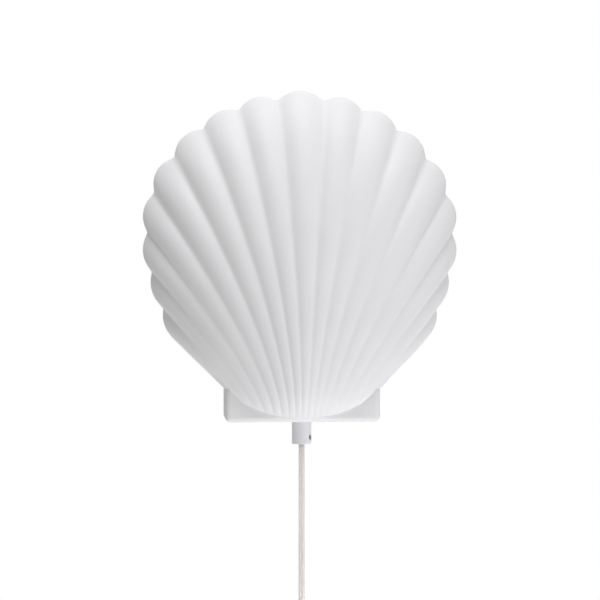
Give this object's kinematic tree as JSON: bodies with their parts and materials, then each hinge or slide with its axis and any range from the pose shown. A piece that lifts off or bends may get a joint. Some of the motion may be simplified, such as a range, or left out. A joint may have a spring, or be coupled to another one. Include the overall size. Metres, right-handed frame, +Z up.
{
  "type": "shell wall sconce",
  "caption": "Ceramic scallop-shell wall lamp on a hook bracket, with a small-screw lampholder, a cord grip and a clear cord to a switch and plug.",
  "frame": {"origin": "middle of the wall bracket's screw holes, on the wall plane", "axes": "+X to the right as seen from the room, +Y into the wall, +Z up"},
  "size_m": [0.2916, 0.0931, 0.7333],
  "materials": {
    "ceramic": "matt unglazed white",
    "steel_plate": "white powder coat",
    "zinc_steel": "bright zinc plate",
    "brass": "plain",
    "nickel": "nickel plate",
    "fibre": "pressed red fibre",
    "holder_white": "moulded",
    "grip_white": "satin moulded",
    "opal_glass": "opal",
    "cord_clear": "clear sheath over tinned cores",
    "wire_white": "insulated wire",
    "switch_white": "moulded",
    "tie_white": "soft strap"
  },
  "bodies": {
    "bracket": {"wall_bracket": "steel_plate"},
    "lamp": {"shell_body": "ceramic", "hanger_bar": "zinc_steel", "lug_inserts": "brass", "hanger_screws": "zinc_steel", "threaded_nipple": "zinc_steel", "fibre_washer": "fibre", "lock_nut": "zinc_steel", "holder_cap": "holder_white", "holder_core": "holder_white", "holder_skirt": "holder_white", "socket_shell": "nickel", "socket_contact": "brass", "terminal_screws": "zinc_steel", "inner_cord": "cord_clear", "inner_wires": "wire_white", "cord_grip": "grip_white", "grip_screw": "zinc_steel", "cord_drop": "cord_clear", "cord_coil": "cord_clear", "cord_tie": "tie_white", "cord_link": "cord_clear", "cord_tail": "cord_clear", "switch_base": "switch_white", "switch_cover": "switch_white", "switch_clamps": "holder_white", "plug_body": "switch_white", "plug_pins": "nickel"},
    "bulb": {"bulb_glass": "opal_glass", "bulb_cap": "nickel", "bulb_contact": "nickel"},
    "rocker": {"switch_rocker": "switch_white"}
  },
  "joints": [
    {"name": "lamp_lift", "type": "slide", "parent": "bracket", "child": "lamp", "axis": [0, 0, 1], "range_m": [0, 0.012]},
    {"name": "bulb_pull", "type": "slide", "parent": "lamp", "child": "bulb", "axis": [0, 0, 1], "range_m": [0, 0.024]},
    {"name": "rocker_tip", "type": "hinge", "parent": "lamp", "child": "rocker", "pos_m": [0.00305, -0.0307, -0.478], "axis": [-1, 0, 0], "range_deg": [0, 16]}
  ]
}
